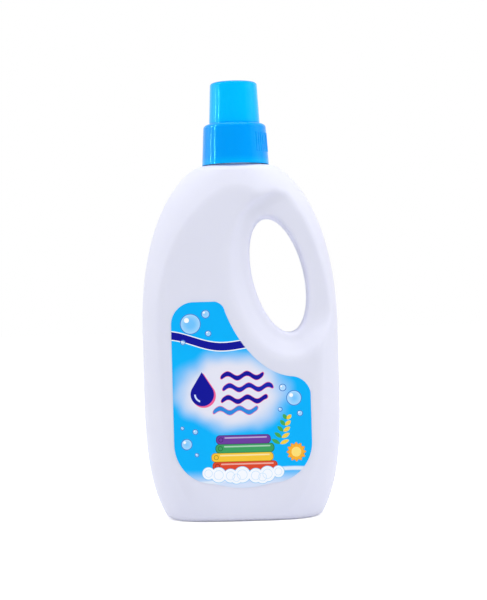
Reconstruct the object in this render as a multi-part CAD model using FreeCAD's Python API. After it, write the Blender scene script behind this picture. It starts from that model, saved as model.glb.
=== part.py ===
"""Laundry detergent bottle with a through-handle, a pour spout and a two-tier screw cap.

Millimetres. The origin is at the middle of the standing face, +Z points up through the neck,
the label's side faces -Y and the handle is at +X.
"""
import FreeCAD, Part
import math
import os
from FreeCAD import Vector

# Body seen from the front
body_half_width = 59.6
foot_start = 80.0
foot_reach = 99.0
foot_power = 3.0
dome_start = 113.0
dome_past_shoulder = 7.0
dome_power = 2.2
shoulder_height = 214.2
heel_round = 3.0
neck_root_round = 4.0

# Body seen from above, before the flat panels are taken off
bulge_half_depth = 38.0
bulge_past_shoulder = 33.8
bulge_power = 1.6
section_power = 2.6
section_power_at_neck = 2.0
section_points = 28
section_step = 16.0
edge_shares = (0.0, 0.12, 0.45)

# Flat front and back panels
panel_half_depth = 31.3
panel_lean = 0.0323
panel_heel_round = 8.0

# Walls of the blow-moulded piece
bottle_wall = 1.0
base_wall = 1.4
push_up_height = 3.0
foot_ring_width = 6.0

# Finger hole, an ellipse whose top leans away from the handle
hole_x = 24.2
hole_z = 146.7
hole_half_length = 35.8
hole_half_width = 15.9
hole_lean_deg = 12.3

# Recess round the hole, from the grip's flat face out to the panel
grip_half_depth = 19.0
recess_margin = 1.5
recess_head_room = 6.6
recess_ramp_side = 12.3
recess_ramp_end = 12.1
recess_ramp_depth = 8.0
recess_side_angle_deg = 30.0

# Neck with its outside thread and collar
neck_radius = 16.25
neck_wall = 1.5
neck_height = 21.0
collar_height = 2.1
thread_pitch = 4.2
thread_depth = 1.2
thread_root_width = 1.9
thread_crest_width = 0.9
thread_turns = 1.5
thread_rise = 6.3

# Pour spout pressed into the neck
spout_bore_gap = 0.1
spout_wall = 1.2
spout_flange = 1.3
spout_plug_depth = 14.0
nozzle_radius = 8.5
nozzle_rise = 16.0
nozzle_cut_deg = 30.0
drain_slot_width = 6.0

# Sealing ring between the spout's flange and the cap
seal_thickness = 1.1
seal_inner_radius = 14.5
seal_outer_radius = 17.0
seal_gap = 0.1

# Screw cap
cap_shoulder_gap = 0.4
cap_thread_gap = 0.35
cap_thread_turns = 1.25
skirt_bottom_radius = 20.5
skirt_top_radius = 19.1
skirt_round = 2.6
ledge_thickness = 1.8
cup_base_radius = 15.6
cup_top_radius = 14.35
cup_height = 25.5
cup_round = 1.8
cup_wall = 1.4

# Labels, die-cut to run round the recess
label_thickness = 0.15
label_half_width = 41.0
label_top = 131.5
label_bottom = 20.5
label_top_round = 13.5
label_tab_round = 6.0
label_block_round = 10.0
label_corner_share = 0.34
label_foot_round = 24.0
label_foot_sag = 2.5
label_gap_side = 8.0
label_gap_end = 12.5
label_notch_start_deg = -103.0
label_notch_end_deg = -168.0

# How far cutters run past what they cut, and how deep a ridge's root is buried
cutter_past = 2.0
ridge_bury = 0.3

# Sizes that follow from the ones above
collar_radius = neck_radius + thread_depth
dome_height = shoulder_height - dome_start
neck_top = shoulder_height + neck_height
thread_start = shoulder_height + thread_rise
collar_foot = shoulder_height - collar_height / 2
cap_foot = shoulder_height + cap_shoulder_gap
seal_foot = neck_top + spout_flange
ledge_foot = seal_foot + seal_thickness + seal_gap
step_height = ledge_foot + ledge_thickness
cap_top = step_height + cup_height


def moved(point, direction, distance):
    """Give a point carried along a direction."""
    return point + direction * distance


def body_share(z):
    """Give the half-width at a height, as a share of the widest."""
    if z < foot_start:
        drop = ((foot_start - z) / foot_reach) ** foot_power
        return (1.0 - drop) ** (1.0 / foot_power)
    if z > dome_start:
        drop = ((z - dome_start) / (dome_height + dome_past_shoulder)) ** dome_power
        return (1.0 - drop) ** (1.0 / dome_power)
    return 1.0


def bulge_share(z):
    """Give the half-depth at a height, as a share of the deepest."""
    if z > dome_start:
        drop = ((z - dome_start) / (dome_height + bulge_past_shoulder)) ** bulge_power
        return (1.0 - drop) ** (1.0 / bulge_power)
    return body_share(z)


def rounding(z, edge, radius):
    """Give how far a rounded edge has drawn in at a height."""
    into = max(0.0, radius - abs(edge - z))
    return radius - math.sqrt(radius ** 2 - into ** 2)


def section(z, inset, low, high):
    """Make the body's closed outline at a height."""
    draw_in = inset + rounding(z, low, heel_round)
    draw_in_top = rounding(z, high, neck_root_round)
    half_width = body_half_width * body_share(z) - draw_in - draw_in_top
    half_depth = bulge_half_depth * bulge_share(z) - draw_in - draw_in_top / 2
    up = max(0.0, (z - dome_start) / dome_height)
    power = section_power + (section_power_at_neck - section_power) * up ** 2
    points = []
    for i in range(section_points):
        angle = 2 * math.pi * i / section_points
        across = math.cos(angle)
        deep = math.sin(angle)
        x = math.copysign(half_width * abs(across) ** (2 / power), across)
        y = math.copysign(half_depth * abs(deep) ** (2 / power), deep)
        points.append(Vector(x, y, z))
    curve = Part.BSplineCurve()
    curve.interpolate(Points=points, PeriodicFlag=True)
    return Part.Wire(curve.toShape())


def section_heights(low, high):
    """List the heights of the outlines, closer together where an edge is rounded."""
    start = low + heel_round
    end = high - neck_root_round
    count = math.ceil((end - start) / section_step)
    heights = [low + heel_round * share for share in edge_shares]
    heights += [start + (end - start) * i / count for i in range(count + 1)]
    heights += [high - neck_root_round * share for share in reversed(edge_shares)]
    return heights


def bulged_body(inset, low):
    """Make the body as if it had no flat panels."""
    high = shoulder_height - inset
    outlines = [section(z, inset, low, high) for z in section_heights(low, high)]
    return Part.makeLoft(outlines, True)


def panel_slab(inset, low):
    """Make the space between the front and back panels, with round heels."""
    half_low = panel_half_depth - inset
    lean_angle = math.atan(panel_lean)
    high = shoulder_height + cutter_past
    half_high = half_low - panel_lean * high
    radius = panel_heel_round
    tangent = radius * math.tan((math.pi / 2 - lean_angle) / 2)
    half_at_low = half_low - panel_lean * low
    along = Vector(0, -math.sin(lean_angle), math.cos(lean_angle))
    corner = Vector(0, half_at_low, low)
    on_panel = moved(corner, along, tangent)
    on_base = moved(corner, Vector(0, -1, 0), tangent)
    centre = moved(on_base, Vector(0, 0, 1), radius)
    towards = (corner - centre).normalize()
    middle = moved(centre, towards, radius)
    top = Vector(0, half_high, high)

    def mirrored(point):
        return Vector(0, -point.y, point.z)

    edges = [
        Part.makeLine(mirrored(on_base), on_base),
        Part.Arc(on_base, middle, on_panel).toShape(),
        Part.makeLine(on_panel, top),
        Part.makeLine(top, mirrored(top)),
        Part.makeLine(mirrored(top), mirrored(on_panel)),
        Part.Arc(mirrored(on_panel), mirrored(middle), mirrored(on_base)).toShape(),
    ]
    face = Part.Face(Part.Wire(edges))
    face.translate(Vector(-2 * body_half_width, 0, 0))
    return face.extrude(Vector(4 * body_half_width, 0, 0))


def hole_axes():
    """Give the unit directions along and across the finger hole."""
    lean = math.radians(hole_lean_deg)
    along = Vector(-math.sin(lean), 0, math.cos(lean))
    across = Vector(math.cos(lean), 0, math.sin(lean))
    return along, across


def hole_tool(grow):
    """Make the finger hole's cutter, which runs right through from front to back."""
    along, across = hole_axes()
    centre = Vector(hole_x, 0, hole_z)
    long_end = moved(centre, along, hole_half_length + grow)
    wide_end = moved(centre, across, hole_half_width + grow)
    outline = Part.Wire(Part.Ellipse(long_end, wide_end, centre).toShape())
    outline.translate(Vector(0, -2 * panel_half_depth, 0))
    return Part.Face(outline).extrude(Vector(0, 4 * panel_half_depth, 0))


def recess_outline(y, half_length, half_width, rise):
    """Make an ellipse round the hole that runs on, past the handle, beyond the body's side."""
    along, across = hole_axes()
    centre = moved(Vector(hole_x, y, hole_z), along, rise)
    side = math.radians(recess_side_angle_deg)
    away = Vector(math.cos(side), 0, math.sin(side))
    square = Vector(-math.sin(side), 0, math.cos(side))
    start = math.atan2(half_width * square.dot(across), half_length * square.dot(along))
    steps = 12
    points = []
    for i in range(steps + 1):
        angle = start - math.pi * i / steps
        point = moved(centre, along, half_length * math.cos(angle))
        points.append(moved(point, across, half_width * math.sin(angle)))
    near = Part.BSplineCurve()
    near.interpolate(Points=points)
    reach = 2 * body_half_width
    far_low = moved(points[-1], away, reach)
    far_high = moved(points[0], away, reach)
    edges = [
        near.toShape(),
        Part.makeLine(points[-1], far_low),
        Part.makeLine(far_low, far_high),
        Part.makeLine(far_high, points[0]),
    ]
    return Part.Wire(edges)


def recess_tool(inset):
    """Make the front recess's cutter: flat at the grip, sloping out to the panel."""
    floor_length = hole_half_length + recess_margin + recess_head_room / 2 + inset
    floor_width = hole_half_width + recess_margin + inset
    floor_rise = recess_head_room / 2
    floor_y = inset - grip_half_depth
    past_panel = panel_half_depth + cutter_past - grip_half_depth
    share = past_panel / recess_ramp_depth
    outer_length = floor_length + (recess_ramp_end - floor_rise) * share
    outer_width = floor_width + recess_ramp_side * share
    outer_rise = floor_rise * (1 - share)
    floor = recess_outline(floor_y, floor_length, floor_width, floor_rise)
    outer = recess_outline(floor_y - past_panel, outer_length, outer_width, outer_rise)
    return Part.makeLoft([floor, outer], True, True)


def push_up_tool(grow):
    """Make the cutter that lifts the middle of the base off the ground."""
    half_width = body_half_width * body_share(0.0) - heel_round - foot_ring_width + grow
    half_depth = panel_half_depth - panel_heel_round - foot_ring_width + grow
    below = push_up_height / 3
    outlines = []
    for z, draw_in in ((-below, -below), (push_up_height + grow, push_up_height)):
        centre = Vector(0, 0, z)
        wide = Vector(half_width - draw_in, 0, z)
        deep = Vector(0, half_depth - draw_in, z)
        outlines.append(Part.Wire(Part.Ellipse(wide, deep, centre).toShape()))
    return Part.makeLoft(outlines, True, True)


def body_form(inset, low):
    """Make the body's solid form, drawn in by an inset."""
    form = bulged_body(inset, low).common(panel_slab(inset, low))
    front = recess_tool(inset)
    back = front.mirror(Vector(0, 0, 0), Vector(0, 1, 0))
    form = form.cut(front)
    form = form.cut(back)
    return form.cut(hole_tool(inset))


def thread(radius, depth_sign, start, turns):
    """Make a helical thread ridge on a cylinder, standing out or standing in."""
    height = thread_pitch * turns
    helix = Part.makeHelix(thread_pitch, height, radius)
    root = radius - depth_sign * ridge_bury
    crest = radius + depth_sign * thread_depth
    half_root = thread_root_width / 2
    half_crest = thread_crest_width / 2
    corners = [
        Vector(root, 0, -half_root),
        Vector(crest, 0, -half_crest),
        Vector(crest, 0, half_crest),
        Vector(root, 0, half_root),
    ]
    profile = Part.Wire(Part.makePolygon(corners + corners[:1]))
    ridge = Part.Wire(helix).makePipeShell([profile], True, True)
    ridge.translate(Vector(0, 0, start))
    return ridge


def tube(outer_radius, inner_radius, foot, height):
    """Make an upright tube on the neck's axis."""
    base = Vector(0, 0, foot)
    return Part.makeCylinder(outer_radius, height, base).cut(Part.makeCylinder(inner_radius, height, base))


def rounded_top_cone(base_radius, top_radius, foot, height, radius):
    """Make a tapered plug with its top edge rounded."""
    cone = Part.makeCone(base_radius, top_radius, height, Vector(0, 0, foot))
    rims = [edge for edge in cone.Edges if isinstance(edge.Curve, Part.Circle)]
    top_rim = max(rims, key=lambda edge: edge.CenterOfMass.z)
    return cone.makeFillet(radius, [top_rim])


def make_bottle():
    """Make the hollow blow-moulded bottle with its neck, collar and thread."""
    outer = body_form(0.0, 0.0).cut(push_up_tool(0.0))
    neck_foot = shoulder_height - 2 * neck_root_round
    neck = Part.makeCylinder(neck_radius, neck_top - neck_foot, Vector(0, 0, neck_foot))
    collar = Part.makeCylinder(collar_radius, collar_height, Vector(0, 0, collar_foot))
    ridge = thread(neck_radius, 1, thread_start, thread_turns)
    outer = outer.fuse([neck, collar, ridge])
    inner = body_form(bottle_wall, base_wall).cut(push_up_tool(bottle_wall))
    bore_foot = shoulder_height - 3 * neck_root_round
    bore_height = neck_top + cutter_past - bore_foot
    bore = Part.makeCylinder(neck_radius - neck_wall, bore_height, Vector(0, 0, bore_foot))
    return outer.cut(inner.fuse(bore))


def make_pour_spout():
    """Make the drain-back spout: a flanged plug, a floor and a nozzle with a slanted lip."""
    plug_radius = neck_radius - neck_wall - spout_bore_gap
    plug_foot = neck_top - spout_plug_depth
    inside = plug_radius - spout_wall
    bore = nozzle_radius - spout_wall
    floor_top = plug_foot + spout_wall
    lip = neck_top + nozzle_rise
    section_corners = [
        Vector(bore, 0, plug_foot),
        Vector(plug_radius, 0, plug_foot),
        Vector(plug_radius, 0, neck_top),
        Vector(neck_radius, 0, neck_top),
        Vector(neck_radius, 0, seal_foot),
        Vector(inside, 0, seal_foot),
        Vector(inside, 0, floor_top),
        Vector(nozzle_radius, 0, floor_top),
        Vector(nozzle_radius, 0, lip),
        Vector(bore, 0, lip),
    ]
    profile = Part.Face(Part.makePolygon(section_corners + section_corners[:1]))
    spout = profile.revolve(Vector(0, 0, 0), Vector(0, 0, 1), 360)
    past = 2 * nozzle_radius
    lip_drop = past * math.tan(math.radians(nozzle_cut_deg))
    lip_middle = lip - lip_drop / 2
    corners = [
        Vector(-past, -past, lip_middle + lip_drop),
        Vector(past, -past, lip_middle - lip_drop),
        Vector(past, -past, lip_middle + 2 * lip_drop),
        Vector(-past, -past, lip_middle + 2 * lip_drop),
    ]
    cut = Part.Face(Part.makePolygon(corners + corners[:1])).extrude(Vector(0, 2 * past, 0))
    slot_length = inside - nozzle_radius
    slot_corner = Vector(nozzle_radius, -drain_slot_width / 2, plug_foot - spout_wall)
    slot = Part.makeBox(slot_length, drain_slot_width, 3 * spout_wall, slot_corner)
    return spout.cut(cut).cut(slot)


def make_cap_seal():
    """Make the soft ring that the cap presses on the spout's flange."""
    return tube(seal_outer_radius, seal_inner_radius, seal_foot, seal_thickness)


def make_cap():
    """Make the screw cap: a skirt with its inside thread, and the measuring cup on top."""
    skirt = rounded_top_cone(
        skirt_bottom_radius, skirt_top_radius, cap_foot, step_height - cap_foot, skirt_round
    )
    cup_foot = step_height - ledge_thickness / 2
    cup = rounded_top_cone(cup_base_radius, cup_top_radius, cup_foot, cap_top - cup_foot, cup_round)
    root_radius = neck_radius + thread_depth + cap_thread_gap
    skirt_hollow = Part.makeCylinder(root_radius, ledge_foot - cap_foot, Vector(0, 0, cap_foot))
    cup_hollow = rounded_top_cone(
        cup_base_radius - cup_wall,
        cup_top_radius - cup_wall,
        ledge_foot - ledge_thickness,
        cap_top - cup_wall - ledge_foot + ledge_thickness,
        cup_round - cup_wall / 2,
    )
    ridge = thread(root_radius, -1, thread_start + thread_pitch / 2, cap_thread_turns)
    return skirt.fuse(cup).cut(skirt_hollow).cut(cup_hollow).fuse(ridge)


def label_outline(y):
    """Make the label's die-cut outline, which runs round the recess at a margin."""
    side = label_half_width
    diagonal = math.sqrt(0.5)
    along, across = hole_axes()
    centre = Vector(hole_x, y, hole_z)
    half_length = hole_half_length + recess_ramp_end + recess_margin + label_gap_end
    half_width = hole_half_width + recess_ramp_side + recess_margin + label_gap_side
    steps = 8
    notch_points = []
    for i in range(steps + 1):
        degrees = label_notch_start_deg + (label_notch_end_deg - label_notch_start_deg) * i / steps
        angle = math.radians(degrees)
        point = moved(centre, along, half_length * math.cos(angle))
        notch_points.append(moved(point, across, half_width * math.sin(angle)))
    notch = Part.BSplineCurve()
    notch.interpolate(Points=notch_points)
    tab_end = notch_points[0]
    block_start = notch_points[-1]

    def at(x, z):
        return Vector(x, y, z)

    foot = label_bottom + label_foot_sag
    foot_x = side - label_foot_round
    foot_side = foot + label_foot_round
    top_z = label_top
    top_round = label_top_round
    tab_start = at(tab_end.x - label_tab_round, top_z)
    tab_in = label_tab_round * label_corner_share
    tab_middle = at(tab_end.x - tab_in, top_z - tab_in)
    block_in = label_block_round * label_corner_share
    block_middle = at(side - block_in, block_start.z - block_in)
    block_end = at(side, block_start.z - label_block_round)
    foot_middle_z = foot + label_foot_round * (1 - diagonal)
    foot_middle_x = foot_x + label_foot_round * diagonal
    left_top = at(top_round - side, top_z)
    left_middle = at(top_round * (1 - diagonal) - side, top_z - top_round * (1 - diagonal))
    left_side = at(-side, top_z - top_round)
    edges = [
        Part.makeLine(at(-side, foot_side), left_side),
        Part.Arc(left_side, left_middle, left_top).toShape(),
        Part.makeLine(left_top, tab_start),
        Part.Arc(tab_start, tab_middle, tab_end).toShape(),
        notch.toShape(),
        Part.Arc(block_start, block_middle, block_end).toShape(),
        Part.makeLine(block_end, at(side, foot_side)),
        Part.Arc(at(side, foot_side), at(foot_middle_x, foot_middle_z), at(foot_x, foot)).toShape(),
        Part.Arc(at(foot_x, foot), at(0, label_bottom), at(-foot_x, foot)).toShape(),
        Part.Arc(at(-foot_x, foot), at(-foot_middle_x, foot_middle_z), at(-side, foot_side)).toShape(),
    ]
    return Part.Wire(edges)


def make_front_label():
    """Make the front label, a film that lies on the leaning panel."""
    film = panel_slab(-label_thickness, 0.0).cut(panel_slab(0.0, 0.0))
    outline = label_outline(-2 * panel_half_depth)
    return film.common(Part.Face(outline).extrude(Vector(0, 2 * panel_half_depth, 0)))


def one_solid(shape):
    """Give the one solid that a result holds."""
    return shape.Solids[0]


def main():
    """Write each piece to its own file."""
    os.makedirs("parts", exist_ok=True)
    front_label = make_front_label()
    pieces = {
        "bottle": make_bottle(),
        "pour_spout": make_pour_spout(),
        "cap_seal": make_cap_seal(),
        "cap": make_cap(),
        "front_label": front_label,
        "back_label": front_label.mirror(Vector(0, 0, 0), Vector(0, 1, 0)),
    }
    for name, shape in pieces.items():
        print(name, len(shape.Solids), shape.isValid(), round(shape.Volume, 1))
        one_solid(shape).exportStep("parts/" + name + ".step")


main()
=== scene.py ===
"""Looks of the laundry detergent bottle: blown white body, screw cap, printed labels, and a white studio.

Metres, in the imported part's own frame: the label's side faces -Y and the handle is at +X.
"""
import bmesh
import bpy
import math
from mathutils import Euler, Matrix, Vector


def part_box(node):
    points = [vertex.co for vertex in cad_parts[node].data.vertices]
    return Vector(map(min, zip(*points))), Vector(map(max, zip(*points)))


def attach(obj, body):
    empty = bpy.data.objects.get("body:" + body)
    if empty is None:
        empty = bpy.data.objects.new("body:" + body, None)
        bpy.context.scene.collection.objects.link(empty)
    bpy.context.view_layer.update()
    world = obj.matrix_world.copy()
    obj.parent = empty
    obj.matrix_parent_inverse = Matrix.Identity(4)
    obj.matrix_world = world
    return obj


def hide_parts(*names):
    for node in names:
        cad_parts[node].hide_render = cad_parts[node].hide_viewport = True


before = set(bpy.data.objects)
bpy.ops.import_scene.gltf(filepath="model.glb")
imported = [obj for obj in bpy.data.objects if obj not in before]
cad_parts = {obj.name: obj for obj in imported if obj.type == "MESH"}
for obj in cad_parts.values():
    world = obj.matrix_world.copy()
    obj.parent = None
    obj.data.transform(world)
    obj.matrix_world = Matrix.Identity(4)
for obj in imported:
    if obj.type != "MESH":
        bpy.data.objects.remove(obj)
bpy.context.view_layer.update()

MM = 0.001

# Photograph's frame and the camera's place in front of the label
IMAGE_HEIGHT_PX = 600
FOCAL_PX = 1632.0
SENSOR_HEIGHT_MM = 24.0
CAMERA_PLACE = (2.6 * MM, -1.0, 132.0 * MM)
CAMERA_ROLL_DEG = -1.6

# Body: the sizes that its skin follows
BODY_SIZES = {
    "Half Width": 59.6 * MM,
    "Foot Start": 80.0 * MM,
    "Foot Reach": 99.0 * MM,
    "Dome Start": 113.0 * MM,
    "Dome Reach": 108.2 * MM,
    "Shoulder Height": 214.2 * MM,
    "Bulge Half Depth": 38.0 * MM,
    "Bulge Reach": 135.0 * MM,
    "Heel Round": 3.0 * MM,
    "Neck Root Round": 4.0 * MM,
    "Panel Half Depth": 31.3 * MM,
    "Panel Lean": 0.0323,
    "Panel Heel Round": 8.0 * MM,
    "Side Crease Round": 1.8 * MM,
    "Arch Crease Round": 0.6 * MM,
    "Hole X": 24.2 * MM,
    "Hole Z": 146.7 * MM,
    "Hole Half Length": 35.8 * MM,
    "Hole Half Width": 15.9 * MM,
    "Hole Lean": math.radians(12.3),
    "Hole Edge Round": 2.5 * MM,
    "Grip Half Depth": 19.0 * MM,
    "Floor Half Length": 40.6 * MM,
    "Floor Half Width": 17.4 * MM,
    "Floor Rise": 3.3 * MM,
    "Ramp Depth": 8.0 * MM,
    "Ramp End": 8.8 * MM,
    "Ramp Side": 12.3 * MM,
    "Ramp Foot Round": 3.0 * MM,
    "Ramp Edge Round": 1.6 * MM,
    "Side Angle": math.radians(30.0),
    "Push Up Height": 3.0 * MM,
    "Push Up Half Width": 37.6 * MM,
    "Push Up Half Depth": 17.3 * MM,
    "Push Up Round": 1.5 * MM,
}
FOOT_POWER = 3.0
DOME_POWER = 2.2
BULGE_POWER = 1.6
SECTION_POWER = 2.6
SECTION_POWER_AT_NECK = 2.0
CREASE_SHARP_FROM = 150.0 * MM
CREASE_SHARP_AT = 185.0 * MM
HEEL_BLEND = 12.0 * MM
TINY = 1e-6

# Skin's sampling and wall
SKIN_STEP = 1.15 * MM
INNER_STEP = 2.2 * MM
BOTTLE_WALL = 1.0 * MM
SLOPE_STEP = 0.05 * MM
SKIN_LOW = (-62.0 * MM, -34.0 * MM, -3.0 * MM)
SKIN_HIGH = (62.0 * MM, 34.0 * MM, 219.0 * MM)

# Neck, collar and thread
SHOULDER = BODY_SIZES["Shoulder Height"]
NECK_RADIUS = 16.25 * MM
NECK_WALL = 1.5 * MM
NECK_FOOT = SHOULDER - 2 * BODY_SIZES["Neck Root Round"]
NECK_TOP = SHOULDER + 21.0 * MM
NECK_ROOT = 0.3 * MM
RIM_ROUND = 0.4 * MM
BORE_FOOT = SHOULDER - 3 * BODY_SIZES["Neck Root Round"]
BORE_PAST = 1.0 * MM
THREAD_PITCH = 4.2 * MM
THREAD_DEPTH = 1.2 * MM
THREAD_ROOT_WIDTH = 1.9 * MM
THREAD_CREST_WIDTH = 0.9 * MM
THREAD_TURNS = 1.5
THREAD_START = SHOULDER + 6.3 * MM
THREAD_BURY = 0.3 * MM
THREAD_ROUND = 0.2 * MM
THREAD_RUN_OUT = 12.0
THREAD_END_SIZE = 0.1
COLLAR_RADIUS = NECK_RADIUS + THREAD_DEPTH
COLLAR_HEIGHT = 2.1 * MM
COLLAR_FOOT = SHOULDER - COLLAR_HEIGHT / 2
COLLAR_TOP = SHOULDER + COLLAR_HEIGHT / 2
COLLAR_ROUND = 0.45 * MM
LATHE_STEPS = 144
SMOOTH_LIMIT_DEG = 32.0

# Cap, with the bands where painted light and shade change its blue
CAP_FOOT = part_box("cap")[0][2]
CAP_STEP = 239.5 * MM
CAP_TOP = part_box("cap")[1][2]
SKIRT_BOTTOM_RADIUS = 20.5 * MM
SKIRT_TOP_RADIUS = 19.1 * MM
PAINTED_CUP_LIGHT_SOFT = 0.8 * MM
PAINTED_FOOT_LIGHT = 4.5 * MM
PAINTED_FOOT_LIGHT_SOFT = 2.5 * MM
PAINTED_RIM_SHADE = 1.4 * MM
PAINTED_RIM_SHADE_FROM = 11.8 * MM
PAINTED_STEP_SHADE = 0.7 * MM
PAINTED_STEP_SHADE_UP = 0.3 * MM
PAINTED_STEP_SHADE_SHARE = 0.6

# Grip ribs, in two patches on opposite sides of the skirt
RIB_PITCH = 2.0 * MM
RIB_WIDTH = 0.8 * MM
RIB_PROUD = 0.24 * MM
RIB_LOW = 222.0 * MM
RIB_HIGH = 233.5 * MM
RIBS_IN_PATCH = 8
RIB_PATCH_DEG = 62.0

# Parting line: a fine bead, three quarters sunk in the skin, that starts and ends beside the neck
FLASH_RADIUS = 0.28 * MM
FLASH_SUNK = 0.14 * MM
FLASH_CLEAR = 1.0 * MM
FLASH_LEAST = 0.3
SEAM_START_TURN = 0.165
SEAM_AROUND_WIDTH = 62.0 * MM
SEAM_AROUND_HEIGHT = 109.0 * MM
SEAM_POINTS = 420
SEAM_PULLS = 8

# Label print, in millimetres across and up the label
FADE_TOP = 32.5
FADE_DEEP = 11.0
FADE_WANDER = 3.0
CLOUD_CENTRE = (-6.0, 78.0)
CLOUD_HALF_SIZE = (30.0, 21.0)
CLOUD_WANDER = 9.0
CLOUD_REACH = 22.0
CLOUD_SOFT = 13.0
NAVY = (8, 14, 150)
PINK = (240, 96, 150)
FOOT_SWOOSH = {"height": 27.5, "rise": 0.06, "swing": 2.4, "wave_length": 92.0, "half_width": 1.1}
FRONT_WAVE = {"height": 105.5, "rise": -0.1, "swing": 2.2, "wave_length": 56.0, "half_width": 2.3}
BACK_WAVE = {"height": 98.0, "rise": 0.12, "swing": 2.2, "wave_length": 60.0, "half_width": 2.2}
WAVE_EDGE = 0.55
BIG_DROP = (-23.5, 76.5, 7.0)
DROP_TALL = 1.9
RIPPLES = (
    (87.0, -11.0, 12.0, NAVY),
    (80.0, -10.0, 17.5, (16, 34, 168)),
    (73.0, -11.0, 14.0, NAVY),
    (66.5, -16.0, 8.0, (44, 138, 222)),
)
RIPPLE_SWING = 1.3
RIPPLE_LENGTH = 11.5
RIPPLE_HALF_WIDTH = 1.35
BUBBLE_RIM = 0.22
FRONT_BUBBLES = (
    (-29.5, 118.5, 6.2), (-20.3, 124.2, 2.6), (-19.0, 112.6, 1.9), (-34.2, 107.6, 1.6),
    (31.0, 73.0, 4.6), (24.4, 79.3, 2.2), (34.3, 63.8, 1.8), (22.6, 66.4, 1.4),
    (-33.5, 47.0, 3.4), (-28.2, 54.3, 1.7), (-35.8, 56.6, 1.2), (-27.6, 40.6, 1.3),
)
BACK_BUBBLES = (
    (28.5, 118.0, 6.0), (19.5, 123.5, 2.4), (35.0, 108.0, 1.8), (20.6, 110.6, 1.5),
    (-32.0, 74.5, 3.6), (-25.4, 79.6, 1.7), (33.5, 33.0, 2.4), (29.0, 28.6, 1.3),
)
SPRIG_FOOT = (22.0, 46.0)
SPRIG_STEP = (1.1, 3.6)
SPRIG_LEAVES = 5
FRONT_SUN = (31.5, 41.0)
BACK_SUN = (-27.0, 29.5)
SUN_PETALS = 12
FOAM = (
    (-21.0, 29.5, 3.6), (-15.0, 28.4, 4.4), (-8.0, 27.8, 4.0), (-1.0, 28.3, 4.7),
    (7.0, 27.6, 4.2), (14.0, 28.4, 4.5), (20.5, 29.6, 3.4), (-4.5, 26.6, 3.6), (11.0, 26.6, 3.8),
)
TOWELS = (
    (0.8, 33.6, 19.0, (222, 72, 44)),
    (-0.6, 38.8, 18.2, (248, 200, 58)),
    (1.0, 44.0, 17.2, (62, 160, 96)),
    (0.2, 49.2, 16.0, (108, 62, 158)),
)
TOWEL_HALF_HEIGHT = 2.45
RULED_PANEL = {"centre": (0.5, 56.0), "half_width": 34.0, "half_height": 22.0, "round_by": 5.0}
RULE_PITCH = 4.0
RULE_FOOT = 36.0
RULE_HALF_HEIGHT = 0.45
RULE_LEFT = -29.0
RULE_RIGHT = 26.0
RULE_RAGGED = 5.5
RULES_LOW = 34.2
RULES_HIGH = 75.8

# Studio
FLOOR_HALF = 6.0
FLOOR_WHITE = (0.9, 0.9, 0.9, 1.0)
FLOOR_GLOW = 0.5
WORLD_LEVEL = 0.64
WORLD_TINT = (0.97, 0.97, 1.0, 1.0)
WHITE = (1.0, 1.0, 1.0, 1.0)
LIGHTS_AIM = (0.0, 0.0, 0.13)
SOFT_BOXES = {
    "left_box": ((-1.0, 0.1, 0.25), (0.7, 1.0), 2.2),
    "right_box": ((1.0, -0.2, 0.35), (0.7, 1.0), 2.4),
    "top_box": ((0.0, -0.25, 1.1), (1.0, 0.8), 7.0),
}
STRIPS = {"strip_76": (76.0, 9.0), "strip_95": (95.0, 3.5)}
STRIP_SIZE = (0.04, 0.9)
STRIP_HEIGHT = 0.4
STRIP_TINT = (0.5, 0.95, 1.0)


# Formulas in node trees


class Field:
    """A value in a node tree that takes part in sums, so that a formula reads as one."""

    def __init__(self, tree, socket):
        self.tree = tree
        self.socket = socket

    def __add__(self, other):
        return calculated("ADD", self, other)

    def __radd__(self, other):
        return calculated("ADD", other, self)

    def __sub__(self, other):
        return calculated("SUBTRACT", self, other)

    def __rsub__(self, other):
        return calculated("SUBTRACT", other, self)

    def __mul__(self, other):
        return calculated("MULTIPLY", self, other)

    def __rmul__(self, other):
        return calculated("MULTIPLY", other, self)

    def __truediv__(self, other):
        return calculated("DIVIDE", self, other)

    def __rtruediv__(self, other):
        return calculated("DIVIDE", other, self)

    def __neg__(self):
        return calculated("MULTIPLY", self, -1.0)

    def __pow__(self, other):
        return calculated("POWER", self, other)

    def __abs__(self):
        return calculated("ABSOLUTE", self)


def plug(term, socket):
    """Join a field to a socket, or set the socket to a plain value."""
    if isinstance(term, Field):
        term.tree.links.new(term.socket, socket)
    else:
        socket.default_value = term


def calculated(operation, *terms):
    """Make a Math node from fields and numbers."""
    tree = next(term.tree for term in terms if isinstance(term, Field))
    node = tree.nodes.new("ShaderNodeMath")
    node.operation = operation
    for term, socket in zip(terms, node.inputs):
        plug(term, socket)
    return Field(tree, node.outputs[0])


def vector_calculated(operation, *terms, output=0):
    """Make a Vector Math node from vector fields and tuples."""
    tree = next(term.tree for term in terms if isinstance(term, Field))
    node = tree.nodes.new("ShaderNodeVectorMath")
    node.operation = operation
    for term, socket in zip(terms, node.inputs):
        plug(term, socket)
    return Field(tree, node.outputs[output])


def scaled(vector, factor):
    """Give a vector field times a value."""
    node = vector.tree.nodes.new("ShaderNodeVectorMath")
    node.operation = "SCALE"
    plug(vector, node.inputs["Vector"])
    plug(factor, node.inputs["Scale"])
    return Field(vector.tree, node.outputs[0])


def greater(one, other):
    return calculated("MAXIMUM", one, other)


def lesser(one, other):
    return calculated("MINIMUM", one, other)


def share(value):
    """Hold a value between 0 and 1."""
    return lesser(greater(value, 0.0), 1.0)


def length(across, up):
    """Give the length of a two-way step."""
    return calculated("SQRT", across * across + up * up)


def split(vector):
    """Give a vector field's three values."""
    node = vector.tree.nodes.new("ShaderNodeSeparateXYZ")
    plug(vector, node.inputs[0])
    return [Field(vector.tree, socket) for socket in node.outputs]


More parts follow.
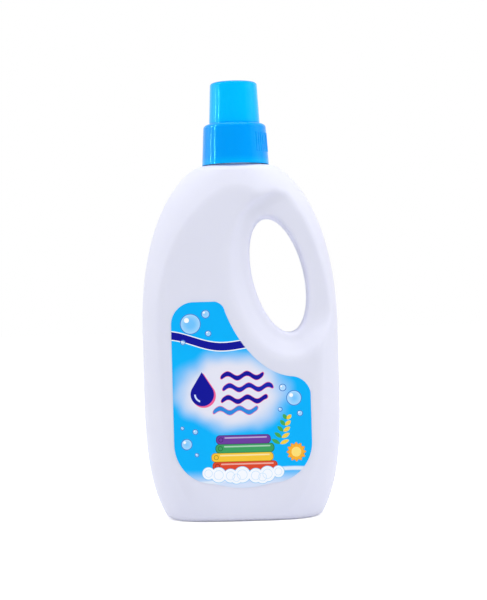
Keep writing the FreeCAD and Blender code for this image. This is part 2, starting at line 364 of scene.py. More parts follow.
def combined(x, y, z):
    """Make a vector field from three values."""
    tree = next(term.tree for term in (x, y, z) if isinstance(term, Field))
    node = tree.nodes.new("ShaderNodeCombineXYZ")
    for term, socket in zip((x, y, z), node.inputs):
        plug(term, socket)
    return Field(tree, node.outputs[0])


def round_greater(one, other, radius):
    """Give where two solids meet, with the edge between them rounded."""
    inside = lesser(greater(one, other), -1.0 * radius)
    return inside + length(greater(one + radius, 0.0), greater(other + radius, 0.0))


def round_lesser(one, other, radius):
    """Give two solids together, with the corner between them rounded."""
    return -round_greater(-one, -other, radius)


# Geometry trees


def geometry_tree(name, inputs):
    """Start a geometry tree with named inputs, given as {name: (socket type, value)}."""
    tree = bpy.data.node_groups.new(name, "GeometryNodeTree")
    for label, (kind, value) in inputs.items():
        socket = tree.interface.new_socket(label, in_out="INPUT", socket_type=kind)
        if value is not None:
            socket.default_value = value
    start = tree.nodes.new("NodeGroupInput")
    fields = {label: Field(tree, start.outputs[label]) for label in inputs}
    return tree, fields


def end_tree(tree, outputs):
    """Finish a tree with named outputs, given as {name: (socket type, field)}."""
    end = tree.nodes.new("NodeGroupOutput")
    for label, (kind, field) in outputs.items():
        tree.interface.new_socket(label, in_out="OUTPUT", socket_type=kind)
        tree.links.new(field.socket, end.inputs[label])


def added(tree, kind, terms, output=0, **settings):
    """Add a node with its settings and inputs, and give one of its outputs."""
    node = tree.nodes.new(kind)
    for name, value in settings.items():
        setattr(node, name, value)
    for name, term in terms.items():
        plug(term, node.inputs[name])
    return Field(tree, node.outputs[output])


def floats(sizes):
    """Describe plain sizes as a tree's inputs."""
    return {name: ("NodeSocketFloat", value) for name, value in sizes.items()}


def run_tree(piece, tree, values):
    """Run a geometry tree on a piece and keep its result as the piece's plain mesh."""
    modifier = piece.modifiers.new(tree.name, "NODES")
    modifier.node_group = tree
    for item in tree.interface.items_tree:
        if item.item_type == "SOCKET" and item.in_out == "INPUT" and item.name in values:
            modifier[item.identifier] = values[item.name]
    graph = bpy.context.evaluated_depsgraph_get()
    mesh = bpy.data.meshes.new_from_object(piece.evaluated_get(graph), depsgraph=graph)
    piece.modifiers.remove(modifier)
    piece.data = mesh
    mesh.name = piece.name
    return piece


def new_piece(name, mesh=None):
    """Make a piece from a mesh, or an empty one."""
    piece = bpy.data.objects.new(name, mesh or bpy.data.meshes.new(name))
    bpy.context.scene.collection.objects.link(piece)
    return piece


# Bottle's skin


def ellipse_measure(across, along, half_across, half_along):
    """Give roughly how far a point lies outside an ellipse, in metres."""
    u = across / half_across
    v = along / half_along
    reach = greater(length(u, v), TINY)
    slope = length(u / half_across, v / half_along) / reach
    return (reach - 1.0) / slope


def recess_measure(across, along, half_across, half_along, aim_across, aim_along):
    """Give roughly how far a point lies outside an ellipse that is swept sideways without end."""
    aim_u = aim_across / half_across
    aim_v = aim_along / half_along
    aim = length(aim_u, aim_v)
    u = across / half_across
    v = along / half_along
    carried = greater((u * aim_u + v * aim_v) / aim, 0.0)
    near_u = u - carried * aim_u / aim
    near_v = v - carried * aim_v / aim
    reach = greater(length(near_u, near_v), TINY)
    slope = length(near_u / half_across, near_v / half_along) / reach
    return (reach - 1.0) / slope


def body_form():
    """Make the group that says how far a point is from the body's skin, below zero inside it."""
    inputs = {"Position": ("NodeSocketVector", None), **floats(BODY_SIZES)}
    tree, size = geometry_tree("Body Form", inputs)
    x, y, z = split(size["Position"])
    deep = abs(y) + TINY

    foot_drop = greater((size["Foot Start"] - z) / size["Foot Reach"], 0.0) ** FOOT_POWER
    foot_share = greater(1.0 - foot_drop, TINY) ** (1.0 / FOOT_POWER)
    above = greater(z - size["Dome Start"], 0.0)
    dome_drop = (above / size["Dome Reach"]) ** DOME_POWER
    dome_share = greater(1.0 - dome_drop, 0.001) ** (1.0 / DOME_POWER)
    bulge_drop = (above / size["Bulge Reach"]) ** BULGE_POWER
    bulge_share = greater(1.0 - bulge_drop, 0.001) ** (1.0 / BULGE_POWER)
    half_width = size["Half Width"] * foot_share * dome_share
    half_depth = size["Bulge Half Depth"] * foot_share * bulge_share
    up = share(above / (size["Shoulder Height"] - size["Dome Start"]))
    power = SECTION_POWER + (SECTION_POWER_AT_NECK - SECTION_POWER) * up * up
    reach = ((abs(x) / half_width) ** power + (deep / half_depth) ** power) ** (1.0 / power)
    radius = length(x, deep)
    side = radius - radius / greater(reach, TINY)

    side = round_greater(side, z - size["Shoulder Height"], size["Neck Root Round"])
    panel = deep - (size["Panel Half Depth"] - size["Panel Lean"] * z)
    soft = share((CREASE_SHARP_AT - z) / (CREASE_SHARP_AT - CREASE_SHARP_FROM))
    crease = size["Arch Crease Round"] + (size["Side Crease Round"] - size["Arch Crease Round"]) * soft
    form = round_greater(side, panel, crease)
    at_panel = share(0.5 + (panel - side) / HEEL_BLEND)
    heel = size["Heel Round"] + (size["Panel Heel Round"] - size["Heel Round"]) * at_panel
    form = round_greater(form, -z, heel)

    cosine = calculated("COSINE", size["Hole Lean"])
    sine = calculated("SINE", size["Hole Lean"])
    from_x = x - size["Hole X"]
    from_z = z - size["Hole Z"]
    across = from_x * cosine + from_z * sine
    along = from_z * cosine - from_x * sine
    side_cosine = calculated("COSINE", size["Side Angle"])
    side_sine = calculated("SINE", size["Side Angle"])
    aim_across = side_cosine * cosine + side_sine * sine
    aim_along = side_sine * cosine - side_cosine * sine

    out = (deep - size["Grip Half Depth"]) / size["Ramp Depth"]
    ramp_slope = size["Ramp Depth"] / length(size["Ramp Depth"], size["Ramp Side"])
    ramp = recess_measure(
        across,
        along - size["Floor Rise"] * (1.0 - out),
        greater(size["Floor Half Width"] + size["Ramp Side"] * out, size["Ramp Foot Round"]),
        greater(size["Floor Half Length"] + size["Ramp End"] * out, size["Ramp Foot Round"]),
        aim_across,
        aim_along,
    )
    recess = round_lesser(deep - size["Grip Half Depth"], -(ramp * ramp_slope), size["Ramp Foot Round"])
    form = round_greater(form, recess, size["Ramp Edge Round"])

    hole = ellipse_measure(across, along, size["Hole Half Width"], size["Hole Half Length"])
    form = round_greater(form, -hole, size["Hole Edge Round"])

    push_up = ellipse_measure(x, deep, size["Push Up Half Width"] - z, size["Push Up Half Depth"] - z)
    push_up = round_greater(push_up, z - size["Push Up Height"], size["Push Up Round"])
    form = round_greater(form, -push_up, size["Push Up Round"])
    end_tree(tree, {"Form": ("NodeSocketFloat", form)})
    return tree


def skin_distance():
    """Make the group that gives the true distance from the skin, and the way straight out of it."""
    form_tree = body_form()
    inputs = {"Position": ("NodeSocketVector", None), **floats(BODY_SIZES)}
    tree, size = geometry_tree("Skin Distance", inputs)

    def form_at(place):
        terms = {**size, "Position": place}
        return added(tree, "GeometryNodeGroup", terms, node_tree=form_tree)

    here = form_at(size["Position"])
    slopes = []
    for step in ((SLOPE_STEP, 0, 0), (0, SLOPE_STEP, 0), (0, 0, SLOPE_STEP)):
        there = form_at(vector_calculated("ADD", size["Position"], step))
        slopes.append((there - here) / SLOPE_STEP)
    slope = combined(*slopes)
    steepness = greater(vector_calculated("LENGTH", slope, output="Value"), 0.1)
    outputs = {
        "Distance": ("NodeSocketFloat", here / steepness),
        "Way Out": ("NodeSocketVector", scaled(slope, 1.0 / steepness)),
    }
    end_tree(tree, outputs)
    return tree


def group_added(tree, group, terms):
    """Use a group in a tree, and give its outputs by name."""
    node = tree.nodes.new("GeometryNodeGroup")
    node.node_tree = group
    for name, term in terms.items():
        plug(term, node.inputs[name])
    return {socket.name: Field(tree, socket) for socket in node.outputs}


def skin_mesh(tree, distance_tree, size, inset, step):
    """Mesh the skin, drawn in by an inset, and set each point exactly on it."""
    position = added(tree, "GeometryNodeInputPosition", {})
    place = {**{name: size[name] for name in BODY_SIZES}, "Position": position}
    distance = group_added(tree, distance_tree, place)["Distance"] + inset
    density = share(0.5 - distance / (step * 4.0))
    counts = [(high - low) / step for low, high in zip(SKIN_LOW, SKIN_HIGH)]
    terms = {
        "Density": density,
        "Min": SKIN_LOW,
        "Max": SKIN_HIGH,
        "Resolution X": counts[0],
        "Resolution Y": counts[1],
        "Resolution Z": counts[2],
    }
    volume = added(tree, "GeometryNodeVolumeCube", terms)
    mesh = added(tree, "GeometryNodeVolumeToMesh", {"Volume": volume, "Threshold": 0.5})
    for _ in range(3):
        off = group_added(tree, distance_tree, place)
        back = scaled(off["Way Out"], -1.0 * (off["Distance"] + inset))
        mesh = added(tree, "GeometryNodeSetPosition", {"Geometry": mesh, "Offset": back})
    return mesh


def boolean(tree, operation, first, others):
    """Join or cut closed meshes."""
    node = tree.nodes.new("GeometryNodeMeshBoolean")
    node.operation = operation
    node.solver = "MANIFOLD"
    many = node.inputs["Mesh 2"]
    if operation == "DIFFERENCE":
        plug(first, node.inputs["Mesh 1"])
    else:
        plug(first, many)
    for other in others:
        plug(other, many)
    return Field(tree, node.outputs["Mesh"])


def smooth_but_edges(tree, mesh, limit_deg):
    """Shade a mesh smooth, apart from its sharp edges."""
    mesh = added(tree, "GeometryNodeSetShadeSmooth", {"Geometry": mesh}, domain="FACE")
    angle = added(tree, "GeometryNodeInputMeshEdgeAngle", {}, output="Unsigned Angle")
    soft = added(tree, "ShaderNodeMath", {0: angle, 1: math.radians(limit_deg)}, operation="LESS_THAN")
    terms = {"Geometry": mesh, "Shade Smooth": soft}
    return added(tree, "GeometryNodeSetShadeSmooth", terms, domain="EDGE")


def thread_ridge(tree, size):
    """Sweep the thread's ridge up the neck, with ends that run out."""
    terms = {
        "Resolution": 64,
        "Rotations": size["Thread Turns"],
        "Start Radius": size["Neck Radius"],
        "End Radius": size["Neck Radius"],
        "Height": size["Thread Pitch"] * size["Thread Turns"],
    }
    helix = added(tree, "GeometryNodeCurveSpiral", terms)
    along = added(tree, "GeometryNodeSplineParameter", {}, output="Factor")
    run_out = share(lesser(along, 1.0 - along) * THREAD_RUN_OUT + THREAD_END_SIZE)
    helix = added(tree, "GeometryNodeSetCurveRadius", {"Curve": helix, "Radius": run_out})
    half_root = size["Thread Root Width"] / 2.0
    half_crest = size["Thread Crest Width"] / 2.0
    corners = {
        "Point 1": combined(-1.0 * half_root, -THREAD_BURY, 0.0),
        "Point 2": combined(half_root, -THREAD_BURY, 0.0),
        "Point 3": combined(half_crest, size["Thread Depth"], 0.0),
        "Point 4": combined(-1.0 * half_crest, size["Thread Depth"], 0.0),
    }
    profile = added(tree, "GeometryNodeCurvePrimitiveQuadrilateral", corners, mode="POINTS")
    terms = {"Curve": profile, "Radius": THREAD_ROUND, "Count": 3}
    profile = added(tree, "GeometryNodeFilletCurve", terms, mode="POLY")
    terms = {"Curve": helix, "Profile Curve": profile, "Fill Caps": True}
    ridge = added(tree, "GeometryNodeCurveToMesh", terms)
    lift = combined(0.0, 0.0, size["Thread Start"])
    return added(tree, "GeometryNodeTransform", {"Geometry": ridge, "Translation": lift})


def bottle_tree():
    """Make the tree of the whole bottle: skin, neck and thread, hollowed out."""
    neck_sizes = {
        "Neck Radius": NECK_RADIUS,
        "Neck Wall": NECK_WALL,
        "Thread Pitch": THREAD_PITCH,
        "Thread Turns": THREAD_TURNS,
        "Thread Depth": THREAD_DEPTH,
        "Thread Root Width": THREAD_ROOT_WIDTH,
        "Thread Crest Width": THREAD_CREST_WIDTH,
        "Thread Start": THREAD_START,
        "Bottle Wall": BOTTLE_WALL,
        "Skin Step": SKIN_STEP,
        "Inner Step": INNER_STEP,
    }
    inputs = {
        "Neck": ("NodeSocketGeometry", None),
        **floats(BODY_SIZES),
        **floats(neck_sizes),
        "Plastic": ("NodeSocketMaterial", None),
    }
    tree, size = geometry_tree("Blown Bottle", inputs)
    distance_tree = skin_distance()
    outer = skin_mesh(tree, distance_tree, size, 0.0, size["Skin Step"])
    inner = skin_mesh(tree, distance_tree, size, size["Bottle Wall"], size["Inner Step"])
    bore_terms = {
        "Vertices": LATHE_STEPS,
        "Radius": size["Neck Radius"] - size["Neck Wall"],
        "Depth": NECK_TOP + BORE_PAST - BORE_FOOT,
    }
    bore = added(tree, "GeometryNodeMeshCylinder", bore_terms)
    bore_middle = (0.0, 0.0, (NECK_TOP + BORE_PAST + BORE_FOOT) / 2)
    bore = added(tree, "GeometryNodeTransform", {"Geometry": bore, "Translation": bore_middle})
    whole = boolean(tree, "UNION", outer, [size["Neck"], thread_ridge(tree, size)])
    hollow = boolean(tree, "DIFFERENCE", whole, [inner, bore])
    hollow = smooth_but_edges(tree, hollow, SMOOTH_LIMIT_DEG)
    hollow = added(tree, "GeometryNodeRealizeInstances", {"Geometry": hollow})
    hollow = added(tree, "GeometryNodeSetMaterial", {"Geometry": hollow, "Material": size["Plastic"]})
    end_tree(tree, {"Bottle": ("NodeSocketGeometry", hollow)})
    return tree


def lathe(name, profile, steps):
    """Turn a profile of (radius, height) points, from axis to axis, into a closed mesh."""
    form = bmesh.new()
    points = [form.verts.new((radius, 0.0, height)) for radius, height in profile]
    edges = [form.edges.new(pair) for pair in zip(points, points[1:])]
    turned = {"axis": (0, 0, 1), "cent": (0, 0, 0), "angle": 2 * math.pi, "steps": steps, "use_merge": True}
    bmesh.ops.spin(form, geom=points + edges, **turned)
    bmesh.ops.remove_doubles(form, verts=form.verts, dist=TINY)
    bmesh.ops.recalc_face_normals(form, faces=form.faces)
    mesh = bpy.data.meshes.new(name)
    form.to_mesh(mesh)
    form.free()
    return mesh


def arc(centre, radius, start_deg, end_deg, steps):
    """List points on an arc, each as (radius from the axis, height)."""
    points = []
    for i in range(steps + 1):
        angle = math.radians(start_deg + (end_deg - start_deg) * i / steps)
        points.append((centre[0] + radius * math.cos(angle), centre[1] + radius * math.sin(angle)))
    return points


def neck_mesh():
    """Turn the neck with its collar and rounded rim."""
    collar_edge = COLLAR_RADIUS - COLLAR_ROUND
    profile = [(0.0, NECK_FOOT), (NECK_RADIUS, NECK_FOOT), (NECK_RADIUS, COLLAR_FOOT)]
    profile += arc((collar_edge, COLLAR_FOOT + COLLAR_ROUND), COLLAR_ROUND, -90, 0, 5)
    profile += arc((collar_edge, COLLAR_TOP - COLLAR_ROUND), COLLAR_ROUND, 0, 90, 5)
    profile += arc((NECK_RADIUS + NECK_ROOT, COLLAR_TOP + NECK_ROOT), NECK_ROOT, 270, 180, 4)
    profile += arc((NECK_RADIUS - RIM_ROUND, NECK_TOP - RIM_ROUND), RIM_ROUND, 0, 90, 5)
    profile += [(0.0, NECK_TOP)]
    return lathe("neck", profile, LATHE_STEPS)


def make_bottle(plastic):
    """Make the blown bottle in place of its plain solid."""
    piece = new_piece("blown_bottle", neck_mesh())
    run_tree(piece, bottle_tree(), {"Plastic": plastic})
    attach(piece, "bottle")
    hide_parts("bottle")
    return piece


# Grip ribs and parting line


def rib_tree():
    """Make the tree of the cap's grip ribs, set round its tapered skirt in two patches."""
    sizes = {
        "Skirt Radius": SKIRT_BOTTOM_RADIUS,
        "Skirt Top Radius": SKIRT_TOP_RADIUS,
        "Skirt Foot": CAP_FOOT,
        "Skirt Step": CAP_STEP,
        "Rib Low": RIB_LOW,
        "Rib High": RIB_HIGH,
        "Rib Width": RIB_WIDTH,
        "Rib Proud": RIB_PROUD,
        "Rib Pitch": RIB_PITCH,
        "Patch Turn": math.radians(RIB_PATCH_DEG - 90.0),
    }
    inputs = {
        **floats(sizes),
        "Ribs in Patch": ("NodeSocketInt", RIBS_IN_PATCH),
        "Plastic": ("NodeSocketMaterial", None),
    }
    tree, size = geometry_tree("Grip Ribs", inputs)
    rib_length = size["Rib High"] - size["Rib Low"]
    terms = {"Start": (0.0, 0.0, 0.0), "End": combined(0.0, 0.0, rib_length)}
    line = added(tree, "GeometryNodeCurvePrimitiveLine", terms)
    line = added(tree, "GeometryNodeResampleCurve", {"Curve": line, "Count": 40})
    factor = added(tree, "GeometryNodeSplineParameter", {}, output="Factor")
    from_end = lesser(factor, 1.0 - factor) * rib_length / (size["Rib Width"] * 0.5)
    end = 1.0 - share(from_end)
    swell = calculated("SQRT", greater(1.0 - end * end, 0.01))
    line = added(tree, "GeometryNodeSetCurveRadius", {"Curve": line, "Radius": swell})
    terms = {"Resolution": 16, "Radius": size["Rib Width"] * 0.5}
    round_bar = added(tree, "GeometryNodeCurvePrimitiveCircle", terms)
    terms = {"Curve": line, "Profile Curve": round_bar, "Fill Caps": True}
    rib = added(tree, "GeometryNodeCurveToMesh", terms)
    rib = added(tree, "GeometryNodeSetShadeSmooth", {"Geometry": rib})

    height = size["Skirt Step"] - size["Skirt Foot"]
    taper = (size["Skirt Radius"] - size["Skirt Top Radius"]) / height
    radius_low = size["Skirt Radius"] - taper * (size["Rib Low"] - size["Skirt Foot"])
    centre_radius = radius_low + size["Rib Proud"] - size["Rib Width"] * 0.5
    pitch_turn = size["Rib Pitch"] / radius_low
    count = size["Ribs in Patch"]
    index = added(tree, "GeometryNodeInputIndex", {})
    patch = calculated("FLOOR", (index + 0.5) / count)
    in_patch = index - patch * count
    turn = size["Patch Turn"] + patch * math.pi + (in_patch - (count - 1.0) / 2.0) * pitch_turn
    place = combined(
        centre_radius * calculated("COSINE", turn),
        centre_radius * calculated("SINE", turn),
        size["Rib Low"],
    )
    points = added(tree, "GeometryNodePoints", {"Count": count * 2.0, "Position": place})
    lean = calculated("ARCTANGENT", taper)
    terms = {"Points": points, "Instance": rib, "Rotation": combined(0.0, -lean, turn)}
    ribs = added(tree, "GeometryNodeInstanceOnPoints", terms)
    ribs = added(tree, "GeometryNodeRealizeInstances", {"Geometry": ribs})
    ribs = added(tree, "GeometryNodeSetMaterial", {"Geometry": ribs, "Material": size["Plastic"]})
    end_tree(tree, {"Ribs": ("NodeSocketGeometry", ribs)})
    return tree


def make_ribs(plastic):
    """Make the grip ribs that stand on the cap's skirt."""
    piece = new_piece("cap_grip_ribs")
    run_tree(piece, rib_tree(), {"Plastic": plastic})
    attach(piece, "cap")


def seam_tree():
    """Make the tree of the mould's parting line: round the body's outside, and round the finger hole."""
    sizes = {
        "Flash Radius": FLASH_RADIUS,
        "Flash Sunk": FLASH_SUNK,
        "Start Turn": SEAM_START_TURN,
        "Around Width": SEAM_AROUND_WIDTH,
        "Around Height": SEAM_AROUND_HEIGHT,
    }
    inputs = {
        **floats(BODY_SIZES),
        **floats(sizes),
        "Plastic": ("NodeSocketMaterial", None),
    }
    tree, size = geometry_tree("Parting Line", inputs)
    distance_tree = skin_distance()
    factor = added(tree, "GeometryNodeSplineParameter", {}, output="Factor")
    turn = size["Start Turn"] + factor * (2.0 * math.pi - 2.0 * size["Start Turn"])
    around = combined(
        size["Around Width"] * calculated("SINE", turn),
        0.0,
        size["Shoulder Height"] / 2.0 + size["Around Height"] * calculated("COSINE", turn),
    )
    line = added(tree, "GeometryNodeCurvePrimitiveLine", {})
    line = added(tree, "GeometryNodeResampleCurve", {"Curve": line, "Count": SEAM_POINTS})
    outside = added(tree, "GeometryNodeSetPosition", {"Geometry": line, "Position": around})

    sine = calculated("SINE", size["Hole Lean"])
    cosine = calculated("COSINE", size["Hole Lean"])
    terms = {"Resolution": SEAM_POINTS // 2, "Radius": 1.0}
    ring = added(tree, "GeometryNodeCurvePrimitiveCircle", terms)
    ring_x, ring_y, _ = split(added(tree, "GeometryNodeInputPosition", {}))
    across = size["Hole Half Width"] * ring_x
    along = size["Hole Half Length"] * ring_y
    hole = combined(
        size["Hole X"] + across * cosine - along * sine,
        0.0,
        size["Hole Z"] + across * sine + along * cosine,
    )
    inside = added(tree, "GeometryNodeSetPosition", {"Geometry": ring, "Position": hole})

    position = added(tree, "GeometryNodeInputPosition", {})
    place = {**{name: size[name] for name in BODY_SIZES}, "Position": position}
    lines = []
    for path in (outside, inside):
        for _ in range(SEAM_PULLS):
            off = group_added(tree, distance_tree, place)
            back = scaled(off["Way Out"], -1.0 * (off["Distance"] + size["Flash Sunk"]))
            path = added(tree, "GeometryNodeSetPosition", {"Geometry": path, "Offset": back})
        height = split(added(tree, "GeometryNodeInputPosition", {}))[2]
        off_ground = share((height - FLASH_CLEAR) / FLASH_CLEAR) * (1.0 - FLASH_LEAST) + FLASH_LEAST
        path = added(tree, "GeometryNodeSetCurveRadius", {"Curve": path, "Radius": off_ground})
        terms = {"Resolution": 8, "Radius": size["Flash Radius"]}
        flash = added(tree, "GeometryNodeCurvePrimitiveCircle", terms)
        terms = {"Curve": path, "Profile Curve": flash, "Fill Caps": True}
        lines.append(added(tree, "GeometryNodeCurveToMesh", terms))
    join = tree.nodes.new("GeometryNodeJoinGeometry")
    for line in lines:
        plug(line, join.inputs[0])
    seam = added(tree, "GeometryNodeSetShadeSmooth", {"Geometry": Field(tree, join.outputs[0])})
    seam = added(tree, "GeometryNodeRealizeInstances", {"Geometry": seam})
    seam = added(tree, "GeometryNodeSetMaterial", {"Geometry": seam, "Material": size["Plastic"]})
    end_tree(tree, {"Seam": ("NodeSocketGeometry", seam)})
    return tree


def make_seam(plastic):
    """Make the fine raised parting line of the blow mould."""
    piece = new_piece("parting_line")
    run_tree(piece, seam_tree(), {"Plastic": plastic})
    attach(piece, "bottle")


# Materials


def colour(red, green, blue):
    """Give a printed colour's linear value from its screen value."""
    def linear(value):
        value = value / 255.0
        return value / 12.92 if value <= 0.04045 else ((value + 0.055) / 1.055) ** 2.4
    return (linear(red), linear(green), linear(blue), 1.0)


def new_material(name, **constants):
    """Start a material with its constant values set on the shader itself."""
    material = bpy.data.materials.new(name)
    material.use_nodes = True
    tree = material.node_tree
    shader = tree.nodes["Principled BSDF"]
    for label, value in constants.items():
        shader.inputs[label.replace("_", " ")].default_value = value
    place = Field(tree, tree.nodes.new("ShaderNodeTexCoord").outputs["Object"])
    return material, tree, shader, place


def noise(place, size, detail=2.0):
    """Give soft random spots of a size, between 0 and 1."""
    terms = {"Vector": place, "Scale": 1.0 / size, "Detail": detail}
    return added(place.tree, "ShaderNodeTexNoise", terms)


def bumped(shader, height, depth):
    """Raise the surface by a height field, times a depth in metres."""
    tree = height.tree
    terms = {"Height": height, "Distance": depth, "Strength": 1.0}
    plug(added(tree, "ShaderNodeBump", terms), shader.inputs["Normal"])


def mixed(factor, under, over):
    """Mix two colours."""
    tree = factor.tree
    node = tree.nodes.new("ShaderNodeMix")
    node.data_type = "RGBA"
    plug(factor, node.inputs["Factor"])
    plug(under, node.inputs[6])
    plug(over, node.inputs[7])
    return Field(tree, node.outputs[2])


def bottle_plastic():
    """White blown polyethylene: faintly uneven, with the fine grain of the mould."""
    material, tree, shader, place = new_material(
        "white_polyethylene",
        Specular_IOR_Level=0.3,
        Subsurface_Weight=0.35,
        Subsurface_Radius=(1.0, 1.0, 1.2),
        Subsurface_Scale=0.003,
    )
    cloudy = noise(place, 30.0 * MM)
    tint = mixed(cloudy, colour(229, 231, 251), colour(226, 228, 248))
    plug(tint, shader.inputs["Base Color"])
    grain = noise(place, 0.5 * MM, 3.0)
    plug(0.4 + grain * 0.1, shader.inputs["Roughness"])
    bumped(shader, grain, 0.01 * MM)
    return material


def cap_plastic():
    """Blue polypropylene, with painted light and shade: the thin cup brighter, the skirt deeper over the
    neck, a paler band at its foot, a painted shade line at the step and a painted shade rim at the top
    edge.
    """
    material, tree, shader, place = new_material(
        "blue_polypropylene",
        Specular_IOR_Level=0.2,
        Specular_Tint=(0.1, 0.8, 1.0, 1.0),
        Subsurface_Weight=0.2,
        Subsurface_Radius=(0.1, 0.8, 1.0),
        Subsurface_Scale=0.0008,
    )
    x, y, z = split(place)
    # Painted light and shade by height: the thin cup brighter as if lit through, the skirt deeper as if
    # shaded over the neck, and a paler painted light band at the skirt's foot
    cup = share(0.5 + (z - CAP_STEP) / PAINTED_CUP_LIGHT_SOFT)
    foot = share((CAP_FOOT + PAINTED_FOOT_LIGHT - z) / PAINTED_FOOT_LIGHT_SOFT)
    skirt = mixed(foot, colour(0, 158, 250), colour(0, 174, 252))
    blue_with_painted_light = mixed(cup, skirt, colour(0, 190, 255))
    # Painted shade: a darker blue line just above the step between skirt and cup
    step = share(1.0 - abs(z - (CAP_STEP + PAINTED_STEP_SHADE_UP)) / PAINTED_STEP_SHADE)
    blue_with_painted_light = mixed(step * PAINTED_STEP_SHADE_SHARE, blue_with_painted_light, colour(0, 150, 235))
    # Painted shade: a deeper blue rim round the cup's top outer edge
    high = share((z - (CAP_TOP - PAINTED_RIM_SHADE)) / PAINTED_RIM_SHADE)
    wide = share((length(x, y) - PAINTED_RIM_SHADE_FROM) / PAINTED_RIM_SHADE)
    plug(mixed(high * wide, blue_with_painted_light, colour(0, 128, 214)), shader.inputs["Base Color"])
    grain = noise(place, 0.8 * MM, 2.0)
    plug(0.06 + grain * 0.03, shader.inputs["Roughness"])
    bumped(shader, grain, 0.0012 * MM)
    return material


# Label print


def disc(u, v, centre, radius):
    """Give how far a point of the print lies outside a disc."""
    return length(u - centre[0], v - centre[1]) - radius


def bar(u, v, centre, half_width, half_height, round_by):
    """Give how far a point of the print lies outside a bar with round corners."""
    across = abs(u - centre[0]) - (half_width - round_by)
    up = abs(v - centre[1]) - (half_height - round_by)
    return length(greater(across, 0.0), greater(up, 0.0)) + lesser(greater(across, up), 0.0) - round_by


def drop(u, v, centre, radius, height):
    """Give how far a point of the print lies outside a water drop."""
    slant = radius / height
    tall = math.sqrt(1.0 - slant * slant)
    across = abs(u - centre[0])
    up = v - centre[1]
    climbed = share((up * tall - across * slant) / (tall * height))
    return length(across, up - climbed * height) - radius * (1.0 - climbed)


def leaf(u, v, foot, turn_deg, half_length, half_width):
    """Give how far a point of the print lies outside a leaf."""
    turn = math.radians(turn_deg)
    middle = (foot[0] + half_length * math.cos(turn), foot[1] + half_length * math.sin(turn))
    along = (u - middle[0]) * math.cos(turn) + (v - middle[1]) * math.sin(turn)
    across = (v - middle[1]) * math.cos(turn) - (u - middle[0]) * math.sin(turn)
    bow = (half_length ** 2 + half_width ** 2) / (2 * half_width)
    return length(abs(across) + (bow - half_width), along) - bow


def rosette(u, v, centre, radius, petals, wave):
    """Give how far a point of the print lies outside a scalloped disc."""
    turn = calculated("ARCTAN2", v - centre[1], u - centre[0])
    return disc(u, v, centre, radius) - wave * calculated("COSINE", turn * float(petals))


def wave_band(u, v, height, rise, swing, wave_length, half_width):
    """Give how far a point of the print lies outside a waving band."""
    line = height + u * rise + swing * calculated("SINE", u * (2 * math.pi / wave_length))
    return abs(v - line) - half_width


def printed(under, over, outside, soft=0.16):
    """Print an ink over what is there, where a point isn't outside its field."""
    return mixed(share(0.5 - outside / soft), under, over)


def all_of(fields):
    """Join several print fields."""
    joined = fields[0]
    for field in fields[1:]:
        joined = lesser(joined, field)
    return joined


def bubbles_printed(under, u, v, bubbles):
    """Print clear bubbles with a blue rim and a white shine."""
    bodies = all_of([disc(u, v, (x, z), radius) for x, z, radius in bubbles])
    rims = abs(bodies + BUBBLE_RIM) - BUBBLE_RIM
    lit = [((x - 0.36 * radius, z + 0.36 * radius), 0.24 * radius) for x, z, radius in bubbles]
    shines = all_of([disc(u, v, centre, radius) for centre, radius in lit])
    glow = share(-bodies / 4.0)
    filled = mixed(share(0.5 - bodies / 0.16) * (0.75 - glow * 0.45), under, colour(196, 232, 255))
    rimmed = printed(filled, colour(24, 112, 205), rims)
    return printed(rimmed, colour(255, 255, 255), shines)


def towels_printed(under, u, v):
    """Print a stack of folded towels that stands in foam."""
    ink = under
    for x, z, half_width, shade in TOWELS:
        darker = tuple(0.62 * value for value in shade)
        paler = tuple(255 - 0.45 * (255 - value) for value in shade)
        outline = bar(u, v, (x, z), half_width + 0.35, TOWEL_HALF_HEIGHT + 0.3, 2.4)
        ink = printed(ink, colour(*darker), outline)
        ink = printed(ink, colour(*shade), bar(u, v, (x, z), half_width, TOWEL_HALF_HEIGHT, 2.2))
        ink = printed(ink, colour(*paler), bar(u, v, (x + 1.4, z + 1.1), half_width - 3.4, 0.42, 0.4))
        fold = abs(disc(u, v, (x - half_width + 2.6, z), 1.25)) - 0.18
        ink = printed(ink, colour(*darker), fold)
    bodies = all_of([disc(u, v, (x, z), radius) for x, z, radius in FOAM])
    ink = printed(ink, colour(120, 196, 240), bodies - 0.3)
    curls = all_of([abs(disc(u, v, (x, z), 0.62 * radius)) - 0.1 for x, z, radius in FOAM])
    ink = printed(ink, colour(246, 250, 255), bodies)
    return printed(ink, colour(176, 216, 246), greater(curls, bodies + 0.8))


def ground_printed(place, u, v):
    """Print the label's blue ground, which fades to white at its foot."""
    cloudy = noise(place, 26.0 * MM, 1.0)
    ground = mixed(share(cloudy), colour(0, 176, 250), colour(0, 184, 252))
    low = share((FADE_TOP - v + (cloudy - 0.5) * FADE_WANDER) / FADE_DEEP)
    return mixed(low * low * (3.0 - 2.0 * low), ground, colour(214, 226, 247))


def navy_wave_printed(under, u, v, band):
    """Print a waving navy band with a white edge."""
    wave = wave_band(u, v, **band)
    ink = printed(under, colour(255, 255, 255), wave - WAVE_EDGE)
    return printed(ink, colour(*NAVY), wave)


def sun_printed(under, u, v, centre, radius, wave):
    """Print a scalloped sun with a darker rim."""
    sun = rosette(u, v, centre, radius, SUN_PETALS, wave)
    ink = printed(under, colour(214, 120, 24), sun - 0.35)
    return printed(ink, colour(250, 178, 52), sun)


